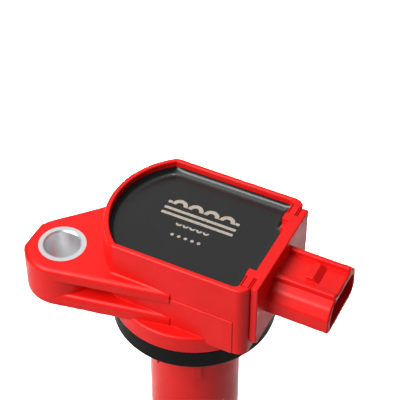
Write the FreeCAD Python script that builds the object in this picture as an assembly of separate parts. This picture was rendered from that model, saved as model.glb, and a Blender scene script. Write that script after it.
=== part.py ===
"""Coil-on-plug ignition coil: a moulded head with an igniter, a barrel with the
windings, and a rubber boot that seats on the spark plug.

Frame: millimetres. Origin on the barrel's axis at the boot's mouth, +Z up to the
head's rim, +X towards the connector. The mounting ear lies towards -X and -Y.
"""
import FreeCAD
import Part

import math
import os

Vector = FreeCAD.Vector

# ---------------------------------------------------------------- driving sizes
overall_height = 150.0          # boot mouth to head rim

# head: a tray with parallel sides and a round nose about the barrel's axis
head_depth = 21.0               # rim to the head's underside
head_half_width = 16.55         # barrel axis to a side face
head_nose_radius = 20.9
head_end_x = 20.9               # barrel axis to the end face
head_wall = 1.3
head_floor = 2.0
head_nose_corner_radius = 1.2   # where the nose meets a side
head_end_corner_radius = 2.55
rim_round = 0.45
rim_inner_round = 0.3
post_corner_radius = 1.2        # between a side wall and a corner post
panel_drop = 10.6               # rim to the raised lower part of the sides
panel_height = 0.2
panel_margin = 3.1              # raised part to the end face

# resin in the head
potting_drop = 2.9              # rim to the flat of the resin
meniscus_rise = 0.9             # how far the resin climbs the wall
meniscus_width = 1.5

# flange, seal and barrel
flange_radius = 20.2
flange_drop = 19.35             # rim to the flange's top
flange_thickness = 4.75
flange_round = 0.7
seal_radius = 19.95
seal_thickness = 5.9
seal_round = 0.7
barrel_radius = 11.25
barrel_wall = 1.6
barrel_collar = 1.3             # how far the collar in the head stands out
collar_thickness = 1.2
rib_count = 6
rib_width = 1.9
rib_height = 0.45
rib_length = 13.7               # below the seal

# mounting ear
ear_x = -27.7                   # bolt hole from the barrel's axis
ear_y = -13.7
ear_drop = 8.8                  # rim to the ear's top
ear_thickness = 11.3
ear_radius = 9.05               # of the tip and of the boss between the plates
ear_trim = 0.85                 # how far the flat at the ear's tip cuts its round end
ear_back_angle = 47.0           # back edge to X, degrees
ear_front_angle = 11.3          # front edge to X, degrees
ear_stop_x = 2.1                # where the front edge stops on the head's side
ear_round = 1.2
ear_top_plate = 3.0
ear_bottom_plate = 3.6
ear_web = 3.0
ear_cove = 0.6                  # concave round between the ear's top and the head's wall

# compression limiter
limiter_bore_radius = 4.2
limiter_wall = 1.45
limiter_chamfer = 0.35

# connector insert: plate and keys
plate_face_x = 22.65
plate_thickness = 1.6
plate_y = (-14.3, 13.8)
plate_drop = 18.2               # rim to the plate's lower edge
plate_corner_radius = 1.2
plate_edge_round = 0.3
neck_half_width = 10.95
neck_depth = 17.4
neck_start_x = 19.8
tongue_x = (18.75, 20.3)
tongue_reach = 14.2             # barrel axis to a tongue's end
tab_x = 18.1
tab_start = 8.85                # barrel axis to a tab's inner side
step_x = 18.6                   # low step beside the +Y tab
step_start = 6.7                # barrel axis to the step's inner side
step_drop = 0.9
post_wall = 0.55                # of the head's post behind a tongue
key_clearance = 0.2

# connector shroud: its section looks along X, with sizes from the rim
shroud_length = 15.1
shroud_front_y = -9.1
shroud_back_y = 6.95
shroud_bottom_drop = 12.65
shroud_back_top_drop = 5.8
shroud_rail_base_drop = 4.0
shroud_recess_drop = 4.4
shroud_shoulder_drop = 4.9
shroud_front_top_drop = 8.15
shroud_front_corner_radius = 1.2
shroud_back_corner_radius = 3.3
shroud_wall = 1.25
shroud_mouth_slant = 0.4        # how far the lower lip stands past the upper
shroud_mouth_round = 0.4        # of the mouth's outer edge
rail_back_y = (3.4, 4.6)
rail_back_drop = 3.0
rail_front_y = (-5.45, -4.35)
rail_front_drop = 3.4
rail_round = 0.3
latch_round = 0.2
latch_y = (-2.7, 2.35)
latch_drop = 3.2
latch_setback = 8.4             # mouth to the latch's flat
latch_flat = 1.55
latch_ramp = 1.5
socket_floor = 2.4              # plate face to the bottom of the socket

# terminals and what they feed
pin_count = 3
pin_pitch = 3.6
pin_width = 1.8
pin_thickness = 0.8
pin_setback = 6.2               # mouth to the blade tips
pin_tail_x = 17.4
bus_width = 2.0
bus_thickness = 0.6
igniter_x = (-10.0, 3.5)
igniter_y = (-10.5, 1.5)
igniter_height = 4.2
igniter_lead_length = 2.6
heat_sink_thickness = 1.2
heat_sink_margin = 1.4
capacitor_radius = 2.3
capacitor_length = 9.0
capacitor_y = 9.2
capacitor_wire_reach = 2.7
wire_radius = 0.45

# magnetic circuit and windings
core_length = 50.0
lamination_steps = 3
magnet_thickness = 3.0
buffer_thickness = 1.5
core_gap = 0.3                  # core to the secondary bobbin
secondary_bobbin_wall = 0.7
secondary_winding_depth = 1.1
secondary_sections = 9
section_wall = 0.7
winding_gap = 0.5               # resin between the secondary and the primary bobbin
primary_bobbin_wall = 0.7
primary_winding_depth = 0.95
primary_flange_overhang = 0.25
bobbin_end_wall = 1.4
outer_core_wall = 0.7
outer_core_gap = 0.2            # resin to the barrel's bore
sleeve_gap = 1.15               # resin between the primary's flanges and the outer core
outer_core_slit = 1.2

# high-tension end
boot_length = 46.0
boot_radius = 10.4
boot_ring_count = 3
boot_ring_stand = 0.6
boot_ring_height = 1.6
boot_ring_pitch = 3.4
boot_lip_height = 2.2
boot_lip_stand = 0.55
plug_bore_radius = 5.3
plug_bore_depth = 24.0
boot_throat_radius = 4.1
neck_radius = 6.8
neck_length = 16.0
neck_bead = 0.4
tower_plug_length = 18.0
spring_bore_radius = 3.7
spring_radius = 2.9             # to the wire's centre
spring_wire_radius = 0.4
spring_pitch = 2.5
contact_radius = 3.3
contact_thickness = 1.6
spigot_clearance = 0.2
contact_rest_gap = 1.0          # contact above the plug bore's step
resistor_radius = 3.2
resistor_length = 12.0
resistor_cap = 2.0
terminal_cup_wall = 0.5
terminal_cup_depth = 2.4
diode_radius = 1.5
diode_length = 6.0

# ------------------------------------------------------------ places they give
rim_z = overall_height
head_bottom_z = rim_z - head_depth
cavity_floor_z = head_bottom_z + head_floor
flange_top_z = rim_z - flange_drop
flange_bottom_z = flange_top_z - flange_thickness
seal_bottom_z = flange_bottom_z - seal_thickness
barrel_bottom_z = boot_length
barrel_bore = barrel_radius - barrel_wall
ear_top_z = rim_z - ear_drop
ear_bottom_z = ear_top_z - ear_thickness
limiter_radius = limiter_bore_radius + limiter_wall
plate_back_x = plate_face_x - plate_thickness
mouth_x = plate_face_x + shroud_length
potting_z = rim_z - potting_drop
pin_z = rim_z - (shroud_shoulder_drop + shroud_bottom_drop) / 2
pin_y0 = (shroud_front_y + shroud_back_y) / 2
neck_bottom_z = barrel_bottom_z - neck_length
tower_top_z = barrel_bottom_z + tower_plug_length
contact_z = plug_bore_depth + contact_rest_gap
spring_bottom_z = contact_z + contact_thickness
resistor_bottom_z = tower_top_z - resistor_length
outer_core_outer = barrel_bore - outer_core_gap
primary_flange = outer_core_outer - outer_core_wall - sleeve_gap
primary_outer = primary_flange - primary_flange_overhang - primary_winding_depth
primary_inner = primary_outer - primary_bobbin_wall
secondary_outer = primary_inner - winding_gap - secondary_winding_depth
secondary_inner = secondary_outer - secondary_bobbin_wall
core_radius = secondary_inner - core_gap
core_stack = core_length + 2 * (magnet_thickness + buffer_thickness)
core_stack_z = tower_top_z + terminal_cup_wall + bobbin_end_wall
bobbin_bottom_z = tower_top_z + terminal_cup_wall
bobbin_top_z = core_stack_z + core_stack + bobbin_end_wall
PAST = 1.0                      # how far a cutting tool runs past a face


# ------------------------------------------------------------------ small tools
def box(x, y, z):
    """A box from (low, high) pairs."""
    corner = Vector(x[0], y[0], z[0])
    return Part.makeBox(x[1] - x[0], y[1] - y[0], z[1] - z[0], corner)


def disc(radius, z0, z1, x=0.0, y=0.0):
    """An upright cylinder from z0 to z1."""
    return Part.makeCylinder(radius, z1 - z0, Vector(x, y, z0))


def tube(outer, inner, z0, z1, x=0.0, y=0.0):
    """An upright tube from z0 to z1."""
    return disc(outer, z0, z1, x, y).cut(disc(inner, z0 - PAST, z1 + PAST, x, y))


def rod(radius, start, end):
    """A round rod between two points."""
    span = Vector(*end) - Vector(*start)
    return Part.makeCylinder(radius, span.Length, Vector(*start), span)


def join(shapes):
    """One solid of shapes that meet."""
    whole = shapes[0]
    for shape in shapes[1:]:
        whole = whole.fuse(shape)
    return whole.removeSplitter()


def section(points, radii, place):
    """A face with straight sides, whose corners are rounded to the given radii."""
    flat = [Vector(u, v, 0) for u, v in points]
    count = len(flat)
    ends = []
    arcs = []
    for i, corner in enumerate(flat):
        radius = radii.get(i, 0.0)
        if radius == 0.0:
            ends.append((corner, corner))
            arcs.append(None)
            continue
        back = (flat[i - 1] - corner).normalize()
        ahead = (flat[(i + 1) % count] - corner).normalize()
        half = back.getAngle(ahead) / 2
        reach = radius / math.tan(half)
        middle = (back + ahead).normalize() * (radius / math.sin(half) - radius)
        ends.append((corner + back * reach, corner + ahead * reach))
        arcs.append(corner + middle)
    edges = []
    for i in range(count):
        start, end = ends[i]
        if arcs[i]:
            edges.append(Part.Arc(place(start), place(arcs[i]), place(end)).toShape())
        following = ends[(i + 1) % count][0]
        if end.distanceToPoint(following) > 1e-6:
            edges.append(Part.makeLine(place(end), place(following)))
    return Part.Face(Part.Wire(edges))


def plan_prism(points, radii, z0, z1):
    """A plan outline given by its corners, raised from z0 to z1."""
    face = section(points, radii, lambda p: Vector(p.x, p.y, z0))
    return face.extrude(Vector(0, 0, z1 - z0))


def end_prism(points, radii, x0, x1):
    """An outline in (y, drop below the rim), drawn out along X."""
    face = section(points, radii, lambda p: Vector(x0, p.x, rim_z - p.y))
    return face.extrude(Vector(x1 - x0, 0, 0))


def turned(profile):
    """A solid of revolution about the barrel's axis from (radius, z) corners."""
    points = [Vector(r, 0, z) for r, z in profile]
    face = Part.Face(Part.makePolygon(points + points[:1]))
    return face.revolve(Vector(0, 0, 0), Vector(0, 0, 1), 360)


def upright_edges(shape, x, y, reach=0.6):
    """The vertical edges that stand within reach of a point in plan."""
    found = []
    for edge in shape.Edges:
        ends = edge.Vertexes
        if len(ends) != 2:
            continue
        low, high = ends[0].Point, ends[1].Point
        upright = abs(low.x - high.x) < 1e-4 and abs(low.y - high.y) < 1e-4
        if upright and math.hypot(low.x - x, low.y - y) < reach:
            found.append(edge)
    return found


def edges_at_z(shape, z, keep):
    """The edges that lie whole in the plane z and whose middle passes keep(x, y)."""
    found = []
    for edge in shape.Edges:
        bounds = edge.BoundBox
        if abs(bounds.ZMin - z) > 1e-3 or abs(bounds.ZMax - z) > 1e-3:
            continue
        middle = edge.valueAt((edge.FirstParameter + edge.LastParameter) / 2)
        if keep(middle.x, middle.y):
            found.append(edge)
    return found


# ------------------------------------------------------------------------- head
def head_plan(inset, z0, z1):
    """The head's plan, moved inwards by inset, from z0 to z1."""
    radius = head_nose_radius - inset
    half = head_half_width - inset
    end = head_end_x - inset
    span = (-half, half)
    nose = disc(radius, z0, z1).common(box((-radius, 0), span, (z0, z1)))
    body = nose.fuse(box((0, end), span, (z0, z1))).removeSplitter()
    nose_corner = -math.sqrt(radius ** 2 - half ** 2)
    nose_round = max(head_nose_corner_radius - inset, head_wall / 2)
    for side in (-1, 1):
        body = body.makeFillet(nose_round, upright_edges(body, nose_corner, side * half))
        end_round = max(head_end_corner_radius - inset, head_wall / 2)
        body = body.makeFillet(end_round, upright_edges(body, end, side * half))
    return body


def ear_outline():
    """The ear's corners in plan, from the two points where its edges leave the tip's arc."""
    back = math.radians(ear_back_angle)
    front = math.radians(ear_front_angle)
    back_point = (ear_x - ear_radius * math.sin(back), ear_y + ear_radius * math.cos(back))
    front_point = (ear_x + ear_radius * math.sin(front), ear_y - ear_radius * math.cos(front))
    inside_x = -head_nose_radius / 2
    back_end = (inside_x, back_point[1] + (inside_x - back_point[0]) * math.tan(back))
    front_end = (ear_stop_x, front_point[1] + (ear_stop_x - front_point[0]) * math.tan(front))
    return [front_point, front_end, (ear_stop_x, 0.0), (inside_x, 0.0), back_end, back_point]


def ear_tip_cut(shape):
    """A shape without what lies past the flat on the ear's tip."""
    beyond = (ear_x - 2 * ear_radius, ear_x - ear_radius + ear_trim)
    span = (ear_y - ear_radius, ear_y + ear_radius)
    return shape.cut(box(beyond, span, (ear_bottom_z - PAST, ear_top_z + PAST)))


def ear_plate(z0, z1):
    """One plate of the ear, with a round on the upper edge of its outline."""
    arms = plan_prism(ear_outline(), {}, z0, z1)
    plate = ear_tip_cut(arms.fuse(disc(ear_radius, z0, z1, ear_x, ear_y)).removeSplitter())
    outline = edges_at_z(plate, z1, lambda x, y: x < ear_stop_x - PAST and not inside_head(x, y))
    return plate.makeFillet(ear_round, outline)


def make_ear():
    """Two plates, the boss round the bolt hole and the web between them."""
    low = ear_bottom_z + ear_bottom_plate
    high = ear_top_z - ear_top_plate
    boss = ear_tip_cut(disc(ear_radius, ear_bottom_z, high, ear_x, ear_y))
    web = box((0, math.hypot(ear_x, ear_y)), (-ear_web / 2, ear_web / 2), (low, high))
    web.rotate(Vector(0, 0, 0), Vector(0, 0, 1), math.degrees(math.atan2(ear_y, ear_x)))
    return join([ear_plate(ear_bottom_z, low), ear_plate(high, ear_top_z), boss, web])


def inside_head(x, y, margin=0.01):
    """Whether a point in plan is more than a margin within the head's side faces and nose."""
    return math.hypot(x, y) < head_nose_radius + PAST - margin and abs(y) < head_half_width - margin


def make_head_housing():
    """Tray, flange, ear and corner posts, moulded in one."""
    body = head_plan(0.0, head_bottom_z, rim_z)
    body = body.makeFillet(rim_round, edges_at_z(body, rim_z, lambda x, y: True))
    flange = disc(flange_radius, flange_bottom_z, flange_top_z)
    flange = flange.makeFillet(flange_round, edges_at_z(flange, flange_top_z, lambda x, y: True))
    body = body.fuse(make_ear()).removeSplitter()
    body = body.makeFillet(ear_cove, ear_wall_edges(body)).fuse(flange)
    for side in (-1, 1):
        body = body.fuse(side_panel(side))
    body = body.cut(head_cavity())
    inner_rim = edges_at_z(body, rim_z, lambda x, y: inside_head(x, y, head_wall / 2))
    body = body.makeFillet(rim_inner_round, inner_rim)
    body = body.cut(insert_opening())
    body = body.cut(disc(limiter_radius, ear_bottom_z - PAST, ear_top_z + PAST, ear_x, ear_y))
    body = body.cut(disc(barrel_radius, flange_bottom_z - PAST, cavity_floor_z + PAST))
    seat_z = cavity_floor_z - collar_thickness
    body = body.cut(disc(barrel_radius + barrel_collar, seat_z, cavity_floor_z + PAST))
    return body.removeSplitter()


def is_round(edge, radius):
    """Whether an edge is an arc of the given radius."""
    return hasattr(edge.Curve, "Radius") and abs(edge.Curve.Radius - radius) < 1e-3


def side_panel(side):
    """The slightly raised lower part of a side face."""
    face = side * head_half_width
    depth = sorted((face - side * head_wall / 2, face + side * panel_height))
    start = -math.sqrt(head_nose_radius ** 2 - head_half_width ** 2) + head_nose_corner_radius
    return box((start, head_end_x - panel_margin), depth, (head_bottom_z, rim_z - panel_drop))


def head_cavity():
    """The hollow of the tray, which leaves a post in each end corner for a tongue of the insert."""
    z = (cavity_floor_z, rim_z + PAST)
    post_x = tongue_x[0] - post_wall
    wall_y = head_half_width - head_wall
    cavity = head_plan(head_wall, *z)
    for side in (-1, 1):
        y = sorted((side * (neck_half_width + key_clearance), side * head_half_width))
        cavity = cavity.cut(box((post_x, head_end_x), y, z))
    corners = [e for side in (-1, 1) for e in upright_edges(cavity, post_x, side * wall_y)]
    return cavity.makeFillet(post_corner_radius, corners)


def ear_wall_edges(body):
    """The edges where the ear's top meets the head's nose and side."""
    found = []
    for edge in edges_at_z(body, ear_top_z, lambda x, y: True):
        middle = edge.valueAt((edge.FirstParameter + edge.LastParameter) / 2)
        if inside_head(middle.x, middle.y, -ear_cove / 2):
            found.append(edge)
    return found


def insert_opening():
    """The slot in the end wall, with the grooves for the insert's tongues."""
    low = rim_z - neck_depth - key_clearance
    z = (low, rim_z + PAST)
    half = neck_half_width + key_clearance
    slot = box((tongue_x[0] - post_wall, plate_face_x), (-half, half), z)
    x = (tongue_x[0] - key_clearance, tongue_x[1] + key_clearance)
    reach = tongue_reach + key_clearance
    return slot.fuse(box(x, (-reach, reach), z))


# -------------------------------------------------------------------- connector
def shroud_points(grow):
    """The shroud's outline in (y, drop), without its rails; grow moves it outwards."""
    front = shroud_front_y - grow
    back = shroud_back_y + grow
    low = shroud_bottom_drop + grow
    return [
        (front, low),
        (back, low),
        (back, shroud_back_top_drop - grow / 2),
        (rail_back_y[1], shroud_rail_base_drop),
        (rail_back_y[1] - 0.2, shroud_recess_drop - grow),
        (rail_front_y[0], shroud_recess_drop - grow),
        (rail_front_y[0], shroud_shoulder_drop - grow),
        ((front + 3 * rail_front_y[0]) / 4 - 1.0, shroud_shoulder_drop + 0.7 - grow),
        (front, shroud_front_top_drop - grow / 2),
    ]


def shroud_outside():
    """The shroud's outside: body, two rails, recess and latch."""
    radii = {0: shroud_front_corner_radius, 1: shroud_back_corner_radius, 7: 2.0, 8: 1.2}
    body = end_prism(shroud_points(0.0), radii, plate_back_x, mouth_x)
    parts = [body]
    base = shroud_recess_drop + PAST
    for y, drop in ((rail_back_y, rail_back_drop), (rail_front_y, rail_front_drop)):
        corners = [(y[0], base), (y[1], base), (y[1], drop), (y[0], drop)]
        parts.append(end_prism(corners, {2: rail_round, 3: rail_round}, plate_back_x, mouth_x))
    parts.append(latch())
    return join(parts)


def latch():
    """The wedge that a plug's clip snaps behind: flat, then a ramp to the mouth."""
    flat_x = mouth_x - latch_setback
    ramp_x = flat_x + latch_flat
    toe_x = ramp_x + latch_ramp
    low = rim_z - shroud_recess_drop - PAST
    high = rim_z - latch_drop
    toe_z = rim_z - shroud_recess_drop
    outline = [(flat_x, low), (toe_x, low), (toe_x, toe_z), (ramp_x, high), (flat_x, high)]
    points = [Vector(x, latch_y[0], z) for x, z in outline]
    face = Part.Face(Part.makePolygon(points + points[:1]))
    wedge = face.extrude(Vector(0, latch_y[1] - latch_y[0], 0))
    return wedge.makeFillet(latch_round, edges_at_z(wedge, high, lambda x, y: True))


def socket():
    """The hollow that takes the harness plug."""
    wall = shroud_wall
    front = shroud_front_y + wall
    back = shroud_back_y - wall
    low = shroud_bottom_drop - wall
    top = shroud_recess_drop + wall
    points = [
        (front, low),
        (back, low),
        (back, shroud_back_top_drop + wall / 2),
        (rail_back_y[1] - wall / 2, top),
        (rail_front_y[0] - wall / 2, top),
        (front, shroud_front_top_drop + wall / 2),
    ]
    radii = {1: shroud_back_corner_radius - wall, 5: 1.0}
    return end_prism(points, radii, plate_face_x + socket_floor, mouth_x + shroud_mouth_slant + PAST)


def mouth_trim():
    """What is cut off the mouth so that its lower lip stands further out."""
    top = rim_z
    low = rim_z - shroud_bottom_drop - PAST
    span = top - low
    slant = shroud_mouth_slant
    outline = [(mouth_x - slant, top), (mouth_x - slant + slant * span / shroud_bottom_drop, low),
               (mouth_x + span, low), (mouth_x + span, top)]
    points = [Vector(x, shroud_front_y - PAST, z) for x, z in outline]
    face = Part.Face(Part.makePolygon(points + points[:1]))
    return face.extrude(Vector(0, shroud_back_y - shroud_front_y + 2 * PAST, 0))


def mouth_face(body):
    """The slanted face round the shroud's mouth."""
    lips = [f for f in body.Faces if f.BoundBox.XMin > mouth_x - shroud_mouth_slant - PAST]
    return max(lips, key=lambda f: f.BoundBox.ZLength)


def insert_keys():
    """Neck, tongues and tabs that hold the insert in the head's end corners."""
    z = (rim_z - neck_depth, rim_z)
    keys = [box((neck_start_x, plate_back_x + plate_thickness / 2), (-neck_half_width, neck_half_width), z)]
    for side in (-1, 1):
        tongue = sorted((side * tab_start, side * tongue_reach))
        keys.append(box(tongue_x, tongue, z))
        tab = sorted((side * tab_start, side * neck_half_width))
        keys.append(box((tab_x, tongue_x[1]), tab, z))
    keys.append(box((step_x, tongue_x[1]), (step_start, tab_start), (z[0], rim_z - step_drop)))
    return keys


def make_connector_insert():
    """End plate, neck, keys and shroud, moulded in one, with the blades' slots."""
    front, back = plate_y
    corners = [(front, 0), (back, 0), (back, plate_drop), (front, plate_drop)]
    rounds = {2: plate_corner_radius, 3: plate_corner_radius}
    plate = end_prism(corners, rounds, plate_back_x, plate_face_x)
    outer = [e for e in plate.Edges if e.BoundBox.XMin > plate_face_x - 1e-3]
    plate = plate.makeFillet(plate_edge_round, outer)
    body = join([plate, shroud_outside()] + insert_keys())
    body = body.cut(socket()).cut(mouth_trim()).removeSplitter()
    body = body.makeFillet(shroud_mouth_round, mouth_face(body).OuterWire.Edges)
    for pin in make_terminal_pins():
        body = body.cut(pin)
    return body.removeSplitter()


def pin_rows():
    """Where the blades stand along Y."""
    middle = (pin_count - 1) / 2
    return [pin_y0 + (i - middle) * pin_pitch for i in range(pin_count)]


def make_terminal_pins():
    """Tin-plated blades with pointed tips."""
    tip_x = mouth_x - pin_setback
    blades = []
    for y in pin_rows():
        half = pin_width / 2
        z = (pin_z - pin_thickness / 2, pin_z + pin_thickness / 2)
        blade = box((pin_tail_x, tip_x), (y - half, y + half), z)
        tips = [e for e in blade.Edges if min(v.X for v in e.Vertexes) > tip_x - 1e-3]
        blades.append(blade.makeChamfer(pin_thickness / 4, tips))
    return blades


# -------------------------------------------------------- electronics in the head
def lead_rows():
    """Where the igniter's leads leave it along Y."""
    span = igniter_y[1] - igniter_y[0]
    return [igniter_y[0] + span * (i + 1) / (pin_count + 1) for i in range(pin_count)]


def make_lead_frame():
    """Bus bars: from each blade's tail to an igniter lead, with one jog."""
    start = igniter_x[1] + igniter_lead_length
    jog = (start + pin_tail_x) / 2
    z = (pin_z - bus_thickness / 2, pin_z + bus_thickness / 2)
    half = bus_width / 2
    bars = []
    for i, (blade_y, lead_y) in enumerate(zip(pin_rows(), lead_rows())):
        bend = jog + (1 - i) * (bus_width + bus_thickness)
        run = box((bend - half, pin_tail_x), (blade_y - half, blade_y + half), z)
        side = sorted((blade_y, lead_y))
        cross = box((bend - half, bend + half), (side[0] - half, side[1] + half), z)
        leg = box((start, bend + half), (lead_y - half, lead_y + half), z)
        bars.append(join([run, cross, leg]))
    return bars


def igniter_levels():
    """The igniter's underside and top."""
    return (pin_z - igniter_height / 2, pin_z + igniter_height / 2)


def make_igniter_module():
    """Moulded power package."""
    body = box(igniter_x, igniter_y, igniter_levels())
    return [body.makeChamfer(igniter_height / 10, body.Edges)]


def make_igniter_leads():
    """The package's flat legs."""
    half = bus_width / 3
    z = (pin_z - bus_thickness / 2, pin_z + bus_thickness / 2)
    x = (igniter_x[1], igniter_x[1] + igniter_lead_length)
    return [box(x, (y - half, y + half), z) for y in lead_rows()]


def make_igniter_heat_sink():
    """Aluminium spreader under the package."""
    low = igniter_levels()[0]
    margin = heat_sink_margin
    x = (igniter_x[0] - margin, igniter_x[1] + margin)
    y = (igniter_y[0] - margin, igniter_y[1] + margin)
    plate = box(x, y, (low - heat_sink_thickness, low))
    uprights = [e for e in plate.Edges if abs(e.Vertexes[0].Z - e.Vertexes[1].Z) > 1e-3]
    return [plate.makeFillet(margin, uprights)]


def make_noise_capacitor():
    """Round film capacitor that lies along the head, with its two wires."""
    x0 = -capacitor_length / 2
    z = pin_z
    body = rod(capacitor_radius, (x0, capacitor_y, z), (-x0, capacitor_y, z))
    body = body.makeFillet(capacitor_radius / 5, [e for e in body.Edges if hasattr(e.Curve, "Radius")])
    wire_x = x0 - capacitor_wire_reach
    wire = rod(wire_radius, (wire_x, capacitor_y, z), (-wire_x, capacitor_y, z))
    return [body.fuse(wire).removeSplitter()]


def primary_lead_places():
    """Plan places of the two primary wires: on the winding's mean radius."""
    radius = primary_outer + primary_winding_depth / 2
    return [(radius * math.cos(a), radius * math.sin(a)) for a in (math.radians(20), math.radians(100))]


def make_primary_leads():
    """The two wire ends that rise from the primary winding into the head."""
    top = pin_z - igniter_height
    return [disc(wire_radius, bobbin_top_z, top, x, y) for x, y in primary_lead_places()]


def make_high_voltage_diode():
    """Diode in the secondary's low end, upright beside the bobbin's top."""
    z0 = bobbin_top_z + wire_radius
    y = -(secondary_outer + diode_radius)
    body = disc(diode_radius, z0, z0 + diode_length, 0, y)
    wire = disc(wire_radius, bobbin_top_z, z0 + diode_length + wire_radius, 0, y)
    return [body.fuse(wire).removeSplitter()]


# -------------------------------------------------------------- barrel and seal
def make_barrel_case():
    """Tube with a collar in the head and short ribs under the seal."""
    body = disc(barrel_radius, barrel_bottom_z, cavity_floor_z)
    collar = disc(barrel_radius + barrel_collar, cavity_floor_z - collar_thickness, cavity_floor_z)
    parts = [body, collar]
    for i in range(rib_count):
        rib = box((0, barrel_radius + rib_height), (-rib_width / 2, rib_width / 2),
                  (seal_bottom_z - rib_length, seal_bottom_z))
        rib.rotate(Vector(0, 0, 0), Vector(0, 0, 1), i * 360.0 / rib_count)
        parts.append(rib)
    return [join(parts).cut(disc(barrel_bore, barrel_bottom_z - PAST, cavity_floor_z + PAST))]


def make_seal_ring():
    """Rubber ring with rounded edges under the flange."""
    ring = tube(seal_radius, barrel_radius, seal_bottom_z, flange_bottom_z)
    outer = [e for e in ring.Edges if is_round(e, seal_radius)]
    return [ring.makeFillet(seal_round, outer)]


def make_compression_limiter():
    """Aluminium sleeve, flush with both faces of the ear."""
    sleeve = tube(limiter_radius, limiter_bore_radius, ear_bottom_z, ear_top_z, ear_x, ear_y)
    mouths = [e for e in sleeve.Edges if is_round(e, limiter_bore_radius)]
    return [sleeve.makeChamfer(limiter_chamfer, mouths)]


# --------------------------------------------------------------------- windings
def core_levels():
    """Heights in the core stack, upwards: pad, magnet, core, magnet, pad."""
    levels = [core_stack_z]
    for step in (buffer_thickness, magnet_thickness, core_length, magnet_thickness, buffer_thickness):
        levels.append(levels[-1] + step)
    return levels


def make_centre_core():
    """Laminations of stepped width, stacked to a nearly round rod."""
    levels = core_levels()
    slabs = []
    for i in range(lamination_steps):
        angle = math.radians(90.0 * (i + 0.5) / lamination_steps)
        half_x = core_radius * math.cos(angle)
        half_y = core_radius * math.sin(angle)
        slabs.append(box((-half_x, half_x), (-half_y, half_y), (levels[2], levels[3])))
    return [join(slabs)]


def make_core_magnets():
    """A magnet at each end of the core."""
    levels = core_levels()
    return [disc(core_radius, levels[1], levels[2]), disc(core_radius, levels[3], levels[4])]


def make_core_buffers():
    """Rubber pads that let the core stack grow with heat."""
    levels = core_levels()
    return [disc(core_radius, levels[0], levels[1]), disc(core_radius, levels[4], levels[5])]


def section_levels():
    """(low, high) of each winding section between the bobbin's partitions."""
    low = bobbin_bottom_z + bobbin_end_wall
    high = bobbin_top_z - bobbin_end_wall
    walls = (secondary_sections - 1) * section_wall
    height = (high - low - walls) / secondary_sections
    pitch = height + section_wall
    return [(low + i * pitch, low + i * pitch + height) for i in range(secondary_sections)]


def make_secondary_bobbin():
    """Closed tube round the core, with partitions between the winding's sections."""
    flange = secondary_outer + secondary_winding_depth
    body = disc(flange, bobbin_bottom_z, bobbin_top_z)
    for z0, z1 in section_levels():
        body = body.cut(tube(flange + PAST, secondary_outer, z0, z1))
    levels = core_levels()
    return [body.cut(disc(secondary_inner, levels[0], levels[-1]))]


def make_secondary_winding():
    """Fine wire, one block in each section."""
    outer = secondary_outer + secondary_winding_depth
    return [tube(outer, secondary_outer, z0, z1) for z0, z1 in section_levels()]


def make_primary_bobbin():
    """Tube with an end flange above and below the primary."""
    low = bobbin_bottom_z
    high = bobbin_top_z
    body = tube(primary_outer, primary_inner, low, high)
    lower = tube(primary_flange, primary_inner, low, low + bobbin_end_wall)
    upper = tube(primary_flange, primary_inner, high - bobbin_end_wall, high)
    return [join([body, lower, upper])]


def make_primary_winding():
    """Thick wire in two layers, as one block."""
    outer = primary_outer + primary_winding_depth
    low = bobbin_bottom_z + bobbin_end_wall
    return [tube(outer, primary_outer, low, bobbin_top_z - bobbin_end_wall)]


def make_outer_core():
    """Steel sleeve with a slit, so that it isn't a shorted turn."""
    sleeve = tube(outer_core_outer, outer_core_outer - outer_core_wall, bobbin_bottom_z, bobbin_top_z)
    half = outer_core_slit / 2
    return [sleeve.cut(box((-barrel_radius, 0), (-half, half), (bobbin_bottom_z, bobbin_top_z)))]


# ------------------------------------------------------------- high-tension end
def make_high_tension_terminal():
    """Cup under the secondary bobbin, on the resistor's cap."""
    return [disc(resistor_radius + terminal_cup_depth, tower_top_z, tower_top_z + terminal_cup_wall)]


def make_suppression_resistor():
    """Wire-wound resistor with pressed end caps."""
    body = disc(resistor_radius - terminal_cup_wall / 2, resistor_bottom_z, tower_top_z)
    lower = disc(resistor_radius, resistor_bottom_z, resistor_bottom_z + resistor_cap)
    upper = disc(resistor_radius, tower_top_z - resistor_cap, tower_top_z)
    return [join([body, lower, upper])]


def make_high_tension_tower():
    """Plug in the barrel's end with a beaded neck that the boot grips."""
    body = disc(barrel_bore, barrel_bottom_z, tower_top_z)
    neck = disc(neck_radius, neck_bottom_z, barrel_bottom_z)
    bead_z = neck_bottom_z + neck_length / 4
    bead = turned([(0, bead_z - 3 * neck_bead), (neck_radius, bead_z - 3 * neck_bead),
                   (neck_radius + neck_bead, bead_z), (neck_radius + neck_bead, bead_z + neck_bead),
                   (neck_radius, bead_z + 2 * neck_bead), (0, bead_z + 2 * neck_bead)])
    body = join([body, neck, bead])
    body = body.cut(disc(spring_bore_radius, neck_bottom_z - PAST, resistor_bottom_z))
    return [body.cut(disc(resistor_radius, resistor_bottom_z - PAST, tower_top_z + PAST))]


def make_plug_boot():
    """Rubber boot: plug bore, throat and the socket on the tower's neck."""
    lip = boot_radius + boot_lip_stand
    body = disc(boot_radius, 0.0, boot_length)
    foot = disc(lip, 0.0, boot_lip_height)
    foot = foot.makeFillet(boot_lip_stand, [e for e in foot.Edges if is_round(e, lip)])
    body = join([body, foot] + [boot_ring(i) for i in range(boot_ring_count)])
    body = body.cut(disc(plug_bore_radius, -PAST, plug_bore_depth))
    body = body.cut(disc(boot_throat_radius, plug_bore_depth - PAST, neck_bottom_z + PAST))
    return [body.cut(make_high_tension_tower_neck())]


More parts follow.
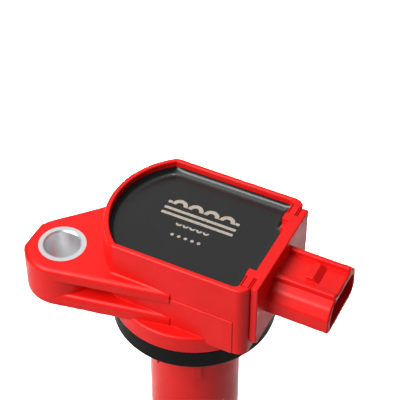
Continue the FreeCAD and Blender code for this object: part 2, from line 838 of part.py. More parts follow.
def boot_ring(i):
    """One of the grip rings near the boot's upper end, counted downwards."""
    top = boot_length - boot_ring_pitch * (i + 1) + boot_ring_height
    radius = boot_radius + boot_ring_stand
    ring = disc(radius, top - boot_ring_height, top)
    return ring.makeFillet(boot_ring_stand, [e for e in ring.Edges if is_round(e, radius)])


def make_high_tension_tower_neck():
    """The space that the tower's neck takes up in the boot, without its bore."""
    neck = make_high_tension_tower()[0].common(disc(barrel_radius, neck_bottom_z, boot_length))
    return neck.fuse(disc(spring_bore_radius + PAST / 2, neck_bottom_z, boot_length))


def make_spring_contact():
    """Brass button at the spring's lower end, with a spigot inside the last coil."""
    button = disc(contact_radius, contact_z, spring_bottom_z)
    lower = [e for e in button.Edges if abs(e.BoundBox.ZMax - contact_z) < 1e-3]
    button = button.makeFillet(contact_thickness / 3, lower)
    spigot_radius = spring_radius - spring_wire_radius - spigot_clearance
    spigot = disc(spigot_radius, spring_bottom_z, spring_bottom_z + spring_pitch)
    return [button.fuse(spigot).removeSplitter()]


def make_contact_spring():
    """Compression spring between the contact and the resistor's lower cap."""
    height = resistor_bottom_z - spring_bottom_z - 2 * spring_wire_radius
    helix = Part.makeHelix(spring_pitch, height, spring_radius)
    helix.translate(Vector(0, 0, spring_bottom_z + spring_wire_radius))
    centre = Vector(spring_radius, 0, spring_bottom_z + spring_wire_radius)
    ring = Part.Wire(Part.makeCircle(spring_wire_radius, centre, Vector(0, 1, 0)))
    return [Part.Wire(helix.Edges).makePipeShell([ring], True, True)]


# ------------------------------------------------------------------------ resin
def make_potting_epoxy(embedded):
    """Resin that fills the head round what lies in it, with its edge drawn up the wall."""
    floor_z = cavity_floor_z
    body = head_plan(head_wall, floor_z, potting_z + meniscus_rise)
    dish = head_plan(head_wall + meniscus_width, potting_z, potting_z + meniscus_rise + PAST)
    body = body.cut(dish)
    for shape in embedded:
        body = body.cut(shape)
    return body.removeSplitter()


def make_barrel_potting(embedded):
    """Resin in the barrel from the tower up to the head's floor."""
    body = disc(barrel_bore, tower_top_z, cavity_floor_z)
    body = body.cut(disc(secondary_inner, bobbin_bottom_z, bobbin_top_z))
    for shape in embedded:
        body = body.cut(shape)
    return body


def solids_of(shapes):
    """The separate solids of a list of shapes."""
    found = []
    for shape in shapes:
        found.extend(shape.Solids)
    return found


def make_all():
    """Every node's name and its solids."""
    nodes = {
        "head_housing": [make_head_housing()],
        "connector_insert": [make_connector_insert()],
        "terminal_pins": make_terminal_pins(),
        "lead_frame": make_lead_frame(),
        "igniter_module": make_igniter_module(),
        "igniter_leads": make_igniter_leads(),
        "igniter_heat_sink": make_igniter_heat_sink(),
        "noise_capacitor": make_noise_capacitor(),
        "primary_leads": make_primary_leads(),
        "high_voltage_diode": make_high_voltage_diode(),
        "barrel_case": make_barrel_case(),
        "seal_ring": make_seal_ring(),
        "compression_limiter": make_compression_limiter(),
        "centre_core": make_centre_core(),
        "core_magnets": make_core_magnets(),
        "core_buffers": make_core_buffers(),
        "secondary_bobbin": make_secondary_bobbin(),
        "secondary_winding": make_secondary_winding(),
        "primary_bobbin": make_primary_bobbin(),
        "primary_winding": make_primary_winding(),
        "outer_core": make_outer_core(),
        "high_tension_terminal": make_high_tension_terminal(),
        "suppression_resistor": make_suppression_resistor(),
        "high_tension_tower": make_high_tension_tower(),
        "plug_boot": make_plug_boot(),
        "spring_contact": make_spring_contact(),
        "contact_spring": make_contact_spring(),
    }
    in_head = ("head_housing", "connector_insert", "terminal_pins", "lead_frame", "igniter_module",
               "igniter_leads", "igniter_heat_sink", "noise_capacitor", "primary_leads",
               "high_voltage_diode", "barrel_case")
    in_barrel = ("high_tension_terminal", "secondary_bobbin", "secondary_winding", "primary_bobbin",
                 "primary_winding", "outer_core", "primary_leads", "high_voltage_diode")
    nodes["potting_epoxy"] = [make_potting_epoxy(solids_of(sum((nodes[n] for n in in_head), [])))]
    nodes["barrel_potting"] = [make_barrel_potting(solids_of(sum((nodes[n] for n in in_barrel), [])))]
    return nodes


os.makedirs("parts", exist_ok=True)
for name, shapes in make_all().items():
    pieces = solids_of(shapes)
    whole = pieces[0] if len(pieces) == 1 else Part.makeCompound(pieces)
    whole.exportStep("parts/" + name + ".step")
    volume = sum(piece.Volume for piece in pieces)
    print(f"{name:24s} solids {len(pieces):2d}  valid {whole.isValid()}  volume {volume:9.1f} mm3")
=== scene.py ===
"""Coil-on-plug ignition coil: finishes, studio and the pieces that CAD leaves rough.

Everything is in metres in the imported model's frame: origin on the barrel's axis
at the boot's mouth, +Z up to the head's rim, +X towards the connector.
"""
import logging
import math
from dataclasses import dataclass, field
from enum import Enum
from typing import Iterable, Sequence

import bmesh
import bpy
from mathutils import Matrix, Vector


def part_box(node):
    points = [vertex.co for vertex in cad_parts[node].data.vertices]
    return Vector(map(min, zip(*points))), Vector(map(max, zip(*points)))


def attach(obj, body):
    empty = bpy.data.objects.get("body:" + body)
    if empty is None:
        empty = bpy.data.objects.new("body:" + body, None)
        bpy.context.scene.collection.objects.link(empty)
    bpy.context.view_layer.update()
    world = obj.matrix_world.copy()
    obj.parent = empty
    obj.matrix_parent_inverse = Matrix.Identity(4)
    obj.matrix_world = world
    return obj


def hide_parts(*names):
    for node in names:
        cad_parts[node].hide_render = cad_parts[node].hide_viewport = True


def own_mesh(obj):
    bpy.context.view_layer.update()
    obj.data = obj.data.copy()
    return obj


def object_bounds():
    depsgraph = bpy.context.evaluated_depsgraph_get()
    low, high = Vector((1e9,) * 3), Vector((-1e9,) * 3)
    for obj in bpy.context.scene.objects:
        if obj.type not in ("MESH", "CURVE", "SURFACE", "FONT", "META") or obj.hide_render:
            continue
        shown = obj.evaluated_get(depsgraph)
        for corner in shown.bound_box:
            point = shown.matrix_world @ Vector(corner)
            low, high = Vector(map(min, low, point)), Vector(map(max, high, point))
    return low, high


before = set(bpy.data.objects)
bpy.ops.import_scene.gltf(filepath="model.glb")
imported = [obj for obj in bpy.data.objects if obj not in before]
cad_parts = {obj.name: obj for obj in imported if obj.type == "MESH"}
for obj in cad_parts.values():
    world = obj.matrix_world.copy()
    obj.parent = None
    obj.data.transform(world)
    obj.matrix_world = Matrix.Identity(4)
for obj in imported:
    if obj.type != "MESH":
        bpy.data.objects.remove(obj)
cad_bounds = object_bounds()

LOG = logging.getLogger("ignition_coil")
MM = 0.001
WAVE_RADIANS = 20  # how far the wave texture turns in one unit
TINT_RANGE = (0.35, 0.65)   # of the broad noise, between a finish's colour and its shade
SPECK_RANGE = (0.52, 0.68)  # of the fine noise, where etched resin shows through
SHEEN_RANGE = (0.3, 0.7)    # of the broad noise, over a finish's swing in roughness
BODY = "coil_body"


# ---------------------------------------------------------------------- helpers
def linear(hex_colour: str) -> tuple[float, float, float, float]:
    """Turn an sRGB hex value into Blender's linear colour.

    Args:
        hex_colour: six hex digits, without a hash.

    Returns:
        Red, green, blue and an alpha of one.
    """
    parts = [int(hex_colour[i:i + 2], 16) / 255 for i in (0, 2, 4)]
    red, green, blue = (c / 12.92 if c <= 0.04045 else ((c + 0.055) / 1.055) ** 2.4 for c in parts)
    return red, green, blue, 1.0


def per_mm(size_mm: float) -> float:
    """Texture scale that makes one feature of a pattern this many millimetres."""
    return 1 / (size_mm * MM)


def waves_per_mm(pitch_mm: float) -> float:
    """Wave texture scale for a pitch in millimetres."""
    return per_mm(pitch_mm) * 2 * math.pi / WAVE_RADIANS


def add_node(tree: bpy.types.NodeTree, kind: str, settings: dict | None = None,
             inputs: dict | None = None) -> bpy.types.Node:
    """Add a node with its settings, values and links.

    Args:
        tree: the node tree.
        kind: the node's type name, without the ShaderNode prefix.
        settings: attributes of the node.
        inputs: socket name or number to a value, or to an output socket to link.

    Returns:
        The new node.
    """
    node = tree.nodes.new("ShaderNode" + kind)
    for name, value in (settings or {}).items():
        setattr(node, name, value)
    for key, value in (inputs or {}).items():
        if isinstance(value, bpy.types.NodeSocket):
            tree.links.new(value, node.inputs[key])
        else:
            node.inputs[key].default_value = value
    return node


def mesh_object(name: str, bm: bmesh.types.BMesh, sharp_degrees: float = 35.0) -> bpy.types.Object:
    """Make an object at the origin from a bmesh, smooth except at sharp edges.

    Args:
        name: the piece's name.
        bm: the finished bmesh, which is freed.
        sharp_degrees: edges that turn by more than this stay sharp.

    Returns:
        The new object, linked to the scene.
    """
    mesh = bpy.data.meshes.new(name)
    bm.to_mesh(mesh)
    bm.free()
    piece = bpy.data.objects.new(name, mesh)
    bpy.context.scene.collection.objects.link(piece)
    smooth_by_angle(mesh, sharp_degrees)
    return piece


def smooth_by_angle(mesh: bpy.types.Mesh, sharp_degrees: float) -> None:
    """Shade a mesh smooth, with its sharp edges kept.

    Args:
        mesh: the mesh.
        sharp_degrees: edges that turn by more than this stay sharp.
    """
    mesh.polygons.foreach_set("use_smooth", [True] * len(mesh.polygons))
    mesh.set_sharp_from_angle(angle=math.radians(sharp_degrees))


def prism(outline: Sequence[tuple[float, float]], low: float, high: float) -> bmesh.types.BMesh:
    """Raise a plan outline into a closed block.

    Args:
        outline: corners in plan, in metres.
        low: height of the underside.
        high: height of the top.

    Returns:
        The block.
    """
    bm = bmesh.new()
    face = bm.faces.new([bm.verts.new((x, y, low)) for x, y in outline])
    raised = bmesh.ops.extrude_face_region(bm, geom=[face])["geom"]
    top = [v for v in raised if isinstance(v, bmesh.types.BMVert)]
    bmesh.ops.translate(bm, vec=(0, 0, high - low), verts=top)
    bmesh.ops.recalc_face_normals(bm, faces=bm.faces)
    return bm


def intersect(piece: bpy.types.Object, cutter: bpy.types.Object) -> None:
    """Keep only what two closed meshes share, in the first one.

    Args:
        piece: the object whose mesh is cut.
        cutter: the object that it is cut with, which is removed.
    """
    boolean = piece.modifiers.new("inside", "BOOLEAN")
    boolean.operation = "INTERSECT"
    boolean.solver = "EXACT"
    boolean.object = cutter
    depsgraph = bpy.context.evaluated_depsgraph_get()
    cut = bpy.data.meshes.new_from_object(piece.evaluated_get(depsgraph))
    piece.modifiers.clear()
    piece.data = cut
    bpy.data.objects.remove(cutter)


# --------------------------------------------------------------------- finishes
class Skin(Enum):
    """How a surface was formed, which decides its pattern."""

    MOULDED = "moulded"      # fine even grain of a spark-eroded mould
    CAST = "cast"            # poured resin: almost level, with faint flow marks
    TURNED = "turned"        # rings round an upright axis
    WOUND = "wound"          # wire turns side by side up the barrel
    LAMINATED = "laminated"  # stacked sheets, seen edge-on
    SINTERED = "sintered"    # pressed powder: small grains
    ETCHED = "etched"        # laser-marked resin: pale with dark specks


@dataclass(frozen=True)
class Finish:
    """A real material and the look of its surface; sizes in millimetres."""

    name: str
    colour: str
    shade: str
    roughness: float
    skin: Skin = Skin.MOULDED
    grain_mm: float = 0.35
    bump_mm: float = 0.004
    mottle_mm: float = 9.0
    roughness_swing: float = 0.06
    metallic: float = 0.0
    ior: float = 1.5
    edge_mm: float = 0.0
    axis_mm: tuple[float, float] = (0.0, 0.0)

    def pattern(self, tree: bpy.types.NodeTree, place: bpy.types.NodeSocket) -> bpy.types.NodeSocket:
        """Make the fine pattern that gives the bump.

        Args:
            tree: the material's nodes.
            place: object coordinates, moved to the pattern's axis.

        Returns:
            A height from zero to one.
        """
        grain = per_mm(self.grain_mm)
        waves = waves_per_mm(self.grain_mm)
        if self.skin is Skin.TURNED:
            wave = add_node(tree, "TexWave", {"wave_type": "RINGS", "rings_direction": "Z"},
                            {"Vector": place, "Scale": waves, "Distortion": 0.6, "Detail": 2.0})
            return wave.outputs["Fac"]
        if self.skin in (Skin.WOUND, Skin.LAMINATED):
            direction = "Z" if self.skin is Skin.WOUND else "Y"
            wave = add_node(tree, "TexWave", {"bands_direction": direction, "wave_profile": "SIN"},
                            {"Vector": place, "Scale": waves, "Distortion": 0.15})
            return wave.outputs["Fac"]
        if self.skin is Skin.SINTERED:
            cells = add_node(tree, "TexVoronoi", {}, {"Vector": place, "Scale": grain})
            return cells.outputs["Distance"]
        noise = add_node(tree, "TexNoise", {}, {"Vector": place, "Scale": grain, "Detail": 3.0,
                                                "Roughness": 0.55})
        return noise.outputs["Fac"]

    def material(self) -> bpy.types.Material:
        """Build the procedural material.

        Returns:
            The material, made once for each finish.
        """
        ready = bpy.data.materials.get(self.name)
        if ready:
            return ready
        material = bpy.data.materials.new(self.name)
        material.use_nodes = True
        tree = material.node_tree
        tree.nodes.clear()
        coordinates = add_node(tree, "TexCoord").outputs["Object"]
        shift = (-self.axis_mm[0] * MM, -self.axis_mm[1] * MM, 0.0)
        mapping = add_node(tree, "Mapping", {}, {"Vector": coordinates, "Location": shift})
        place = mapping.outputs["Vector"]
        fine = self.pattern(tree, place)
        broad = add_node(tree, "TexNoise", {}, {"Vector": place, "Scale": per_mm(self.mottle_mm),
                                                "Detail": 4.0, "Roughness": 0.6}).outputs["Fac"]
        source, low, high = (fine, *SPECK_RANGE) if self.skin is Skin.ETCHED else (broad, *TINT_RANGE)
        amount = add_node(tree, "MapRange", {}, {"Value": source, "From Min": low, "From Max": high})
        tint = add_node(tree, "Mix", {"data_type": "RGBA"}, {
            "Factor": amount.outputs["Result"], 6: linear(self.colour), 7: linear(self.shade)})
        matt = add_node(tree, "MapRange", {}, {
            "Value": broad, "From Min": SHEEN_RANGE[0], "From Max": SHEEN_RANGE[1],
            "To Min": self.roughness - self.roughness_swing,
            "To Max": self.roughness + self.roughness_swing})
        bump_inputs = {"Height": fine, "Distance": self.bump_mm * MM, "Strength": 1.0}
        if self.edge_mm:
            soft = add_node(tree, "Bevel", {"samples": 6}, {"Radius": self.edge_mm * MM})
            bump_inputs["Normal"] = soft.outputs["Normal"]
        bump = add_node(tree, "Bump", {}, bump_inputs)
        shader = add_node(tree, "BsdfPrincipled", {}, {
            "Base Color": tint.outputs[2], "Roughness": matt.outputs["Result"],
            "Metallic": self.metallic, "IOR": self.ior, "Normal": bump.outputs["Normal"]})
        add_node(tree, "OutputMaterial", {}, {"Surface": shader.outputs["BSDF"]})
        return material


# Glass-filled PBT: saturated red, satin, with the even grain of its mould.
RED_PBT = Finish("moulded_red_pbt", "ec1510", "e4120e", 0.36, grain_mm=0.22, bump_mm=0.003,
                 ior=1.34, edge_mm=0.22)
# Cast epoxy potting: near-black, level and satin, with the faintest flow marks.
BLACK_EPOXY = Finish("cast_black_epoxy", "0c0c0d", "0f0f10", 0.27, Skin.CAST, grain_mm=6.0,
                     bump_mm=0.002, mottle_mm=8.0, roughness_swing=0.02, ior=1.5)
# Laser-marked epoxy: the beam foams the surface to a chalky beige.
MARKED_EPOXY = Finish("laser_marked_epoxy", "b1a89b", "857e73", 0.75, Skin.ETCHED, grain_mm=0.3,
                      bump_mm=0.01)
# Turned aluminium sleeve: bright ends with fine tool rings.
ALUMINIUM = Finish("turned_aluminium", "eff0f2", "e2e3e6", 0.40, Skin.TURNED, grain_mm=0.5,
                   bump_mm=0.003, metallic=1.0, axis_mm=(-27.7, -13.7))
# EPDM seal: matt black rubber, with a bloom that dulls its reflection below rubber's own.
EPDM_RUBBER = Finish("moulded_epdm_rubber", "050505", "090909", 0.55, grain_mm=0.5, bump_mm=0.01,
                     mottle_mm=4.0, ior=1.25)
# Silicone boot: soft black with a light sheen from its mould.
SILICONE = Finish("moulded_black_silicone", "1c1c1e", "262628", 0.48, grain_mm=0.6, bump_mm=0.008,
                  mottle_mm=7.0, ior=1.43)
# Tinned brass: pale, bright, with rolling marks.
TINNED_BRASS = Finish("tinned_brass_strip", "d8d4c8", "c2bdae", 0.24, Skin.LAMINATED, grain_mm=0.3,
                      bump_mm=0.002, metallic=1.0)
# Nickel-plated spring steel: grey, drawn wire.
SPRING_STEEL = Finish("drawn_spring_steel", "b5b7ba", "96989c", 0.26, grain_mm=0.25, bump_mm=0.002,
                      metallic=1.0)
# Grain-oriented silicon steel: blue-grey sheets, stacked.
SILICON_STEEL = Finish("laminated_silicon_steel", "74787d", "5a5e63", 0.42, Skin.LAMINATED,
                       grain_mm=0.7, bump_mm=0.02, metallic=1.0)
# Rolled steel sleeve with an oxide skin.
ROLLED_STEEL = Finish("rolled_steel_sleeve", "6b6e73", "54575c", 0.45, grain_mm=0.8, bump_mm=0.01,
                      metallic=1.0)
# Sintered rare-earth magnet with a nickel skin.
MAGNET = Finish("sintered_magnet", "8b8a86", "75746f", 0.38, Skin.SINTERED, grain_mm=0.3,
                bump_mm=0.01, metallic=1.0)
# Natural PPO bobbins: bone-coloured and satin.
BOBBIN_PPO = Finish("moulded_natural_ppo", "cfc6ab", "c0b699", 0.45, grain_mm=0.4)
# Enamelled copper, thick wire for the primary.
PRIMARY_COPPER = Finish("enamelled_copper_primary", "a2521f", "8a4318", 0.28, Skin.WOUND,
                        grain_mm=0.5, bump_mm=0.12, metallic=0.6)
# Enamelled copper, hair-fine for the secondary and drawn coarser so that its turns show.
SECONDARY_COPPER = Finish("enamelled_copper_secondary", "93491d", "7c3a14", 0.33, Skin.WOUND,
                          grain_mm=0.18, bump_mm=0.05, metallic=0.5)
# Moulded chip package: dull black epoxy with filler grain.
CHIP_EPOXY = Finish("moulded_chip_epoxy", "202022", "2b2b2d", 0.62, grain_mm=0.2, bump_mm=0.012)
# Glazed steatite resistor body.
STEATITE = Finish("glazed_steatite", "e6dfcf", "d9d1bf", 0.20, grain_mm=0.9)
# Moulded tower: black PBT.
BLACK_PBT = Finish("moulded_black_pbt", "141415", "1d1d1f", 0.38, grain_mm=0.25)
# Dipped film capacitor: mustard epoxy skin.
CAPACITOR_DIP = Finish("dipped_film_capacitor", "b98a1e", "a67a17", 0.35, grain_mm=0.7, bump_mm=0.02)
# Cast potting in the barrel: brown-black, glossy.
BARREL_RESIN = Finish("cast_barrel_epoxy", "231c17", "2d241d", 0.25, Skin.CAST, grain_mm=2.0)
# Dark nitrile pads at the core's ends.
NITRILE = Finish("moulded_nitrile_pad", "1f1f1f", "2a2a2a", 0.6, grain_mm=0.5, bump_mm=0.01)


def dress(nodes: Iterable[str], finish: Finish) -> None:
    """Give CAD nodes a finish.

    Args:
        nodes: the nodes' names.
        finish: what they are made of.
    """
    for name in nodes:
        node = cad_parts[name]
        node.data.materials.clear()
        node.data.materials.append(finish.material())
        LOG.info("dressed %s in %s", name, finish.name)


def seat(piece: bpy.types.Object, finish: Finish, body: str = BODY) -> None:
    """Finish a new piece: its material and the body it rides on.

    Args:
        piece: the piece, at the origin.
        finish: what it is made of.
        body: the CAD body it moves with.
    """
    piece.data.materials.clear()
    piece.data.materials.append(finish.material())
    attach(piece, body)
    LOG.info("made %s: %d faces, on %s", piece.name, len(piece.data.polygons), body)


# ------------------------------------------------------------------------- head
@dataclass
class ResinFill:
    """Resin in the head: level in the middle and drawn up every wall it touches.

    Sizes are in millimetres and follow the head's cavity and the insert's keys.
    """

    nose_radius: float = 19.6
    half_width: float = 15.25
    post_x: float = 18.2
    post_y: float = 11.07
    tab_x: float = 18.1
    tab_outer: float = 10.95
    tab_inner: float = 8.85
    neck_x: float = 19.8
    rise: float = 0.9
    reach: float = 2.5
    climb_power: float = 2.7
    film_height: float = 0.4
    film_width: float = 0.3
    overlap: float = 0.5
    base_lift: float = 0.01
    headroom: float = 2.0
    sharp_degrees: float = 40.0
    spacing: float = 0.25
    arc_steps: int = 48

    def outline(self) -> list[tuple[float, float]]:
        """Plan of the cavity at the resin's level.

        Returns:
            Corners in millimetres, anticlockwise.
        """
        start = math.pi - math.asin(self.half_width / self.nose_radius)
        sweep = 2 * (math.pi - start)
        nose = []
        for i in range(self.arc_steps + 1):
            angle = start + sweep * i / self.arc_steps
            nose.append((self.nose_radius * math.cos(angle), self.nose_radius * math.sin(angle)))
        front = [(self.post_x, -self.half_width), (self.post_x, -self.post_y),
                 (self.tab_x, -self.tab_outer), (self.tab_x, -self.tab_inner),
                 (self.neck_x, -self.tab_inner)]
        back = [(self.neck_x, self.tab_inner), (self.tab_x, self.tab_inner),
                (self.tab_x, self.tab_outer), (self.post_x, self.post_y),
                (self.post_x, self.half_width)]
        return nose + front + back

    def end_walls(self) -> list[tuple[Vector, Vector]]:
        """The short walls at the connector's end, as runs in plan."""
        corners = [Vector(p) for p in self.outline()[self.arc_steps + 1:]]
        return list(zip(corners[:-1], corners[1:]))

    def climb(self, distance: float) -> float:
        """Share of the full rise at a distance from a wall, in millimetres."""
        return max(0.0, 1.0 - distance / self.reach) ** self.climb_power

    def film(self, distance: float) -> float:
        """Height of the thin film that creeps up a wall, at a distance from it, in millimetres."""
        return self.film_height * max(0.0, 1.0 - distance / self.film_width)

    def height(self, x: float, y: float) -> float:
        """How far the resin stands above its level part, in millimetres.

        Args:
            x: place in plan.
            y: place in plan.

        Returns:
            The height, larger where two walls meet.
        """
        here = Vector((x, y))
        to_end = self.reach
        for start, end in self.end_walls():
            run = end - start
            along = max(0.0, min(1.0, (here - start).dot(run) / run.length_squared))
            to_end = min(to_end, (here - start - run * along).length)
        to_nose = self.nose_radius - here.length if x < 0 else self.reach
        distances = (to_nose, self.half_width - abs(y), to_end)
        level = math.prod(1.0 - self.climb(d) for d in distances)
        return self.rise * (1.0 - level) + self.film(min(distances))

    def build(self) -> bpy.types.Object:
        """Make the resin and put it in place of the CAD block.

        Returns:
            The piece.
        """
        low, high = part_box("potting_epoxy")
        level = high.z - self.rise * MM
        span_x = (-self.nose_radius - self.overlap, self.neck_x + self.overlap)
        half_y = self.half_width + self.overlap
        columns = round((span_x[1] - span_x[0]) / self.spacing)
        rows = round(2 * half_y / self.spacing)
        bm = bmesh.new()
        bmesh.ops.create_grid(bm, x_segments=columns, y_segments=rows, size=0.5)
        size = Matrix.Diagonal(((span_x[1] - span_x[0]) * MM, 2 * half_y * MM, 1.0, 1.0))
        middle = Matrix.Translation(((span_x[0] + span_x[1]) / 2 * MM, 0.0, level))
        bmesh.ops.transform(bm, matrix=middle @ size, verts=bm.verts)
        for vert in bm.verts:
            vert.co.z += self.height(vert.co.x / MM, vert.co.y / MM) * MM
        rim = [e for e in bm.edges if e.is_boundary]
        skirt = bmesh.ops.extrude_edge_only(bm, edges=rim)["geom"]
        for vert in (v for v in skirt if isinstance(v, bmesh.types.BMVert)):
            vert.co.z = low.z
        under = [e for e in skirt if isinstance(e, bmesh.types.BMEdge) and e.is_boundary]
        bmesh.ops.edgeloop_fill(bm, edges=under)
        bmesh.ops.recalc_face_normals(bm, faces=bm.faces)
        piece = mesh_object("resin_fill", bm)
        plan = [(x * MM, y * MM) for x, y in self.outline()]
        walls = prism(plan, low.z + self.base_lift * MM, high.z + self.headroom * MM)
        intersect(piece, mesh_object("cavity_walls", walls))
        smooth_by_angle(piece.data, self.sharp_degrees)
        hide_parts("potting_epoxy")
        seat(piece, BLACK_EPOXY)
        return piece


@dataclass
class CoilMark:
    """Plain sign of two windings and a core, laser-marked on the resin; millimetres."""

    half_width: float = 9.2
    gap: float = 0.14
    line_width: float = 1.05
    humps: int = 4
    hump_radius: float = 1.45
    hump_base: float = 4.5
    bars_y: tuple[float, float] = (3.3, 1.6)
    bar_width: float = 0.8
    small_humps: int = 5
    small_radius: float = 0.55
    small_line_width: float = 0.5
    small_base: float = -0.8
    dots: int = 5
    dots_y: float = -4.6
    dot_radius: float = 0.42
    dot_pitch: float = 1.7
    dot_sides: int = 16
    thickness: float = 0.012
    steps: int = 18

    def winding(self, bm: bmesh.types.BMesh, count: int, radius: float, base: float,
                width: float, turn: float) -> float:
        """Add a row of half rings, side by side.

        Args:
            bm: where it goes.
            count: number of half rings.
            radius: to the middle of their line.
            base: y of their feet.
            width: of the line.
            turn: 1 for humps that rise towards +Y, -1 for humps that hang.

        Returns:
            Half the row's length.
        """
        pitch = 2 * radius + width + self.gap
        for i in range(count):
            centre = Vector(((i - (count - 1) / 2) * pitch, base, 0.0)) * MM
            inner = bm.verts.new(centre + Vector((radius - width / 2, 0, 0)) * MM)
            outer = bm.verts.new(centre + Vector((radius + width / 2, 0, 0)) * MM)
            edge = bm.edges.new((inner, outer))
            bmesh.ops.spin(bm, geom=[inner, outer, edge], cent=centre, axis=(0, 0, 1),
                           angle=math.pi * turn, steps=self.steps, use_duplicate=False)
        return count * pitch / 2

    def bar(self, bm: bmesh.types.BMesh, x: Sequence[float], y: Sequence[float]) -> None:
        """Add a plain bar between two x and two y values, in millimetres."""
        corners = ((x[0], y[0]), (x[1], y[0]), (x[1], y[1]), (x[0], y[1]))
        bm.faces.new([bm.verts.new((u * MM, v * MM, 0.0)) for u, v in corners])

    def build(self, level: float) -> bpy.types.Object:
        """Make the mark on the resin's level part.

        Args:
            level: height of the resin's level part, in metres.

        Returns:
            The piece.
        """
        bm = bmesh.new()
        reach = self.winding(bm, self.humps, self.hump_radius, self.hump_base, self.line_width, 1.0)
        for side in (-1, 1):
            ends = sorted((side * reach, side * self.half_width))
            self.bar(bm, ends, (self.hump_base, self.hump_base + self.bar_width))
        for y in self.bars_y:
            self.bar(bm, (-self.half_width, self.half_width), (y - self.bar_width, y))
        self.winding(bm, self.small_humps, self.small_radius, self.small_base,
                     self.small_line_width, -1.0)
        for i in range(self.dots):
            dot_x = (i - (self.dots - 1) / 2) * self.dot_pitch
            place = Matrix.Translation(Vector((dot_x, self.dots_y, 0.0)) * MM)
            bmesh.ops.create_circle(bm, cap_ends=True, segments=self.dot_sides,
                                    radius=self.dot_radius * MM, matrix=place)
        raised = bmesh.ops.extrude_face_region(bm, geom=bm.faces[:])["geom"]
        top = [v for v in raised if isinstance(v, bmesh.types.BMVert)]
        bmesh.ops.translate(bm, vec=(0, 0, self.thickness * MM), verts=top)
        bmesh.ops.translate(bm, vec=(0, 0, level), verts=bm.verts)
        bmesh.ops.recalc_face_normals(bm, faces=bm.faces)
        piece = mesh_object("coil_mark", bm)
        seat(piece, MARKED_EPOXY)
        return piece


@dataclass
class Head:
    """The moulded head with its resin, mark, bolt sleeve and seal."""

    resin: ResinFill = field(default_factory=ResinFill)
    mark: CoilMark = field(default_factory=CoilMark)

    def build(self) -> None:
        """Dress the head's nodes and make the resin and its mark."""
        dress(["head_housing", "barrel_case"], RED_PBT)
        dress(["compression_limiter"], ALUMINIUM)
        dress(["seal_ring"], EPDM_RUBBER)
        self.resin.build()
        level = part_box("potting_epoxy")[1].z - self.resin.rise * MM
        self.mark.build(level)


@dataclass
class Connector:
    """The end plate with its shroud, and the blades in it."""

    def build(self) -> None:
        """Dress the connector's nodes."""
        dress(["connector_insert"], RED_PBT)
        dress(["terminal_pins", "lead_frame"], TINNED_BRASS)


@dataclass
class Electronics:
    """The igniter and its neighbours, sealed in the head's resin."""

    def build(self) -> None:
        """Dress the sealed nodes."""
        dress(["potting_epoxy"], BLACK_EPOXY)
        dress(["igniter_module", "high_voltage_diode"], CHIP_EPOXY)
        dress(["igniter_leads"], TINNED_BRASS)
        dress(["igniter_heat_sink"], ALUMINIUM)
        dress(["noise_capacitor"], CAPACITOR_DIP)
        dress(["primary_leads"], PRIMARY_COPPER)


@dataclass
class Windings:
    """Core, magnets, bobbins and wire, sealed in the barrel."""

    def build(self) -> None:
        """Dress the sealed nodes."""
        dress(["centre_core"], SILICON_STEEL)
        dress(["outer_core"], ROLLED_STEEL)
        dress(["core_magnets"], MAGNET)
        dress(["core_buffers"], NITRILE)
        dress(["primary_bobbin", "secondary_bobbin"], BOBBIN_PPO)
        dress(["primary_winding"], PRIMARY_COPPER)
        dress(["secondary_winding"], SECONDARY_COPPER)
        dress(["barrel_potting"], BARREL_RESIN)


@dataclass
class ContactSpring:
    """Compression spring with closed ends, between the resistor and the contact; millimetres."""

    coil_radius: float = 2.9
    wire_radius: float = 0.4
    active_turns: float = 9.0
    dead_turns: float = 1.0
    dead_pitch: float = 0.82
    steps_per_turn: int = 28
    wire_sides: int = 10
    sharp_degrees: float = 60.0

    def build(self) -> bpy.types.Object:
        """Wind the spring to fill the CAD spring's height, with closed turns at both ends.

        Returns:
            The piece.
        """
        low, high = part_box("contact_spring")
        bottom = low.z + self.wire_radius * MM
        top = high.z - self.wire_radius * MM
        dead_rise = self.dead_turns * self.dead_pitch * MM
        active_rise = top - bottom - 2 * dead_rise
        bm = bmesh.new()
        turn = Matrix.Rotation(math.radians(90), 4, "X")
        place = Matrix.Translation((self.coil_radius * MM, 0.0, bottom))
        ring = bmesh.ops.create_circle(bm, segments=self.wire_sides, radius=self.wire_radius * MM,
                                       matrix=place @ turn, cap_ends=False)
        first = ring["verts"]
        geometry = [*first, *{e for v in first for e in v.link_edges}]
        start = [g for g in geometry if isinstance(g, bmesh.types.BMEdge)]
        for turns, rise in ((self.dead_turns, dead_rise), (self.active_turns, active_rise),
                            (self.dead_turns, dead_rise)):
            steps = round(turns * self.steps_per_turn)
            geometry = bmesh.ops.spin(bm, geom=geometry, cent=(0, 0, 0), axis=(0, 0, 1),
                                      dvec=(0, 0, rise / steps), angle=turns * 2 * math.pi,
                                      steps=steps, use_duplicate=False)["geom_last"]
        end = [g for g in geometry if isinstance(g, bmesh.types.BMEdge)]
        bmesh.ops.edgeloop_fill(bm, edges=start)
        bmesh.ops.edgeloop_fill(bm, edges=end)
        bmesh.ops.recalc_face_normals(bm, faces=bm.faces)
        piece = mesh_object("closed_end_spring", bm, self.sharp_degrees)
        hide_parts("contact_spring")
        seat(piece, SPRING_STEEL)
        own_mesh(piece)
        return piece


@dataclass
class HighTensionEnd:
    """Tower, resistor, boot and sprung contact."""

    spring: ContactSpring = field(default_factory=ContactSpring)

    def build(self) -> None:
        """Dress the end's nodes and wind its spring."""
        dress(["plug_boot"], SILICONE)
        dress(["high_tension_tower"], BLACK_PBT)
        dress(["suppression_resistor"], STEATITE)
        dress(["high_tension_terminal", "spring_contact"], TINNED_BRASS)
        dress(["contact_spring"], SPRING_STEEL)
        self.spring.build()


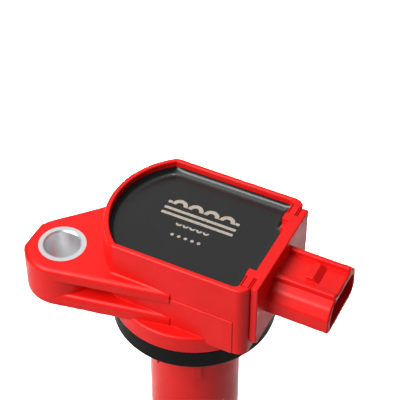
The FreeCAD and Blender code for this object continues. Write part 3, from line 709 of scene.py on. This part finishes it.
# ----------------------------------------------------------------------- studio
@dataclass
class Softbox:
    """A square studio light that faces the head."""

    name: str
    azimuth: float
    elevation: float
    distance: float
    side: float
    watts: float
    spread: float = 180.0
    offset: tuple[float, float, float] = (0.0, 0.0, 0.0)

    def build(self, middle: Vector) -> None:
        """Hang the light.

        Args:
            middle: the head's middle, which it faces unless it has an offset.
        """
        light = bpy.data.lights.new(self.name, "AREA")
        light.shape = "SQUARE"
        light.size = self.side
        light.energy = self.watts
        light.spread = math.radians(self.spread)
        target = middle + Vector(self.offset)
        holder = bpy.data.objects.new(self.name, light)
        holder.location = target + direction(self.azimuth, self.elevation) * self.distance
        holder.rotation_euler = (holder.location - target).to_track_quat("Z", "Y").to_euler()
        bpy.context.scene.collection.objects.link(holder)


def direction(azimuth: float, elevation: float) -> Vector:
    """Unit vector towards an azimuth from -Y turning to +X, and an elevation, in degrees."""
    a, e = math.radians(azimuth), math.radians(elevation)
    return Vector((math.sin(a) * math.cos(e), -math.cos(a) * math.cos(e), math.sin(e)))


@dataclass
class Studio:
    """Pale floor, even surround light, softboxes and the camera."""

    azimuth: float = 26.55
    elevation: float = 43.95
    distance: float = 0.3177
    lens: float = 126.4
    aim: tuple[float, float] = (0.00146, 0.0)
    aim_above_rim: float = 0.00615
    floor_half: float = 3.0
    surround: float = 0.14
    softboxes: tuple[Softbox, ...] = (
        Softbox("key_softbox", -32.0, 42.0, 0.6, 0.36, 4.4),
        Softbox("back_panel", -153.0, 48.0, 0.7, 0.7, 0.93),
        Softbox("top_softbox", -85.0, 68.0, 0.6, 0.38, 1.1),
        Softbox("floor_light", 0.0, 89.0, 0.9, 0.18, 5.0, 30.0, (-0.135, 0.27, -0.156)),
    )

    def build(self) -> None:
        """Set the floor, the lights and the camera."""
        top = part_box("head_housing")[1].z
        target = Vector((self.aim[0], self.aim[1], top + self.aim_above_rim))
        self.floor()
        self.world()
        for softbox in self.softboxes:
            softbox.build(target)
        self.camera(target)
        scene = bpy.context.scene
        scene.view_settings.view_transform = "Standard"

    def floor(self) -> None:
        """Lay the pale floor under the boot."""
        bm = bmesh.new()
        bmesh.ops.create_grid(bm, x_segments=1, y_segments=1, size=self.floor_half)
        bmesh.ops.translate(bm, vec=(0, 0, cad_bounds[0][2]), verts=bm.verts)
        floor = mesh_object("studio_floor", bm)
        card = Finish("matt_white_card", "bebebe", "bcbcbc", 0.9, grain_mm=2.0, bump_mm=0.01,
                      roughness_swing=0.02)
        floor.data.materials.append(card.material())

    def world(self) -> None:
        """Light the room evenly with white."""
        world = bpy.data.worlds.new("white_surround")
        world.use_nodes = True
        background = world.node_tree.nodes["Background"]
        background.inputs["Color"].default_value = (1.0, 1.0, 1.0, 1.0)
        background.inputs["Strength"].default_value = self.surround
        bpy.context.scene.world = world

    def camera(self, target: Vector) -> None:
        """Place the camera.

        Args:
            target: the point at the frame's middle.
        """
        lens = bpy.data.cameras.new("camera")
        lens.lens = self.lens
        lens.sensor_width = 36.0
        lens.clip_start = 0.01
        lens.clip_end = 20.0
        holder = bpy.data.objects.new("camera", lens)
        back = direction(self.azimuth, self.elevation)
        holder.location = target + back * self.distance
        holder.rotation_euler = back.to_track_quat("Z", "Y").to_euler()
        bpy.context.scene.collection.objects.link(holder)
        bpy.context.scene.camera = holder


def main() -> None:
    """Build each sub-assembly in order."""
    logging.basicConfig(level=logging.INFO, format="%(message)s")
    for part in (Head(), Connector(), Electronics(), Windings(), HighTensionEnd(), Studio()):
        part.build()


if __name__ == "__main__":
    main()
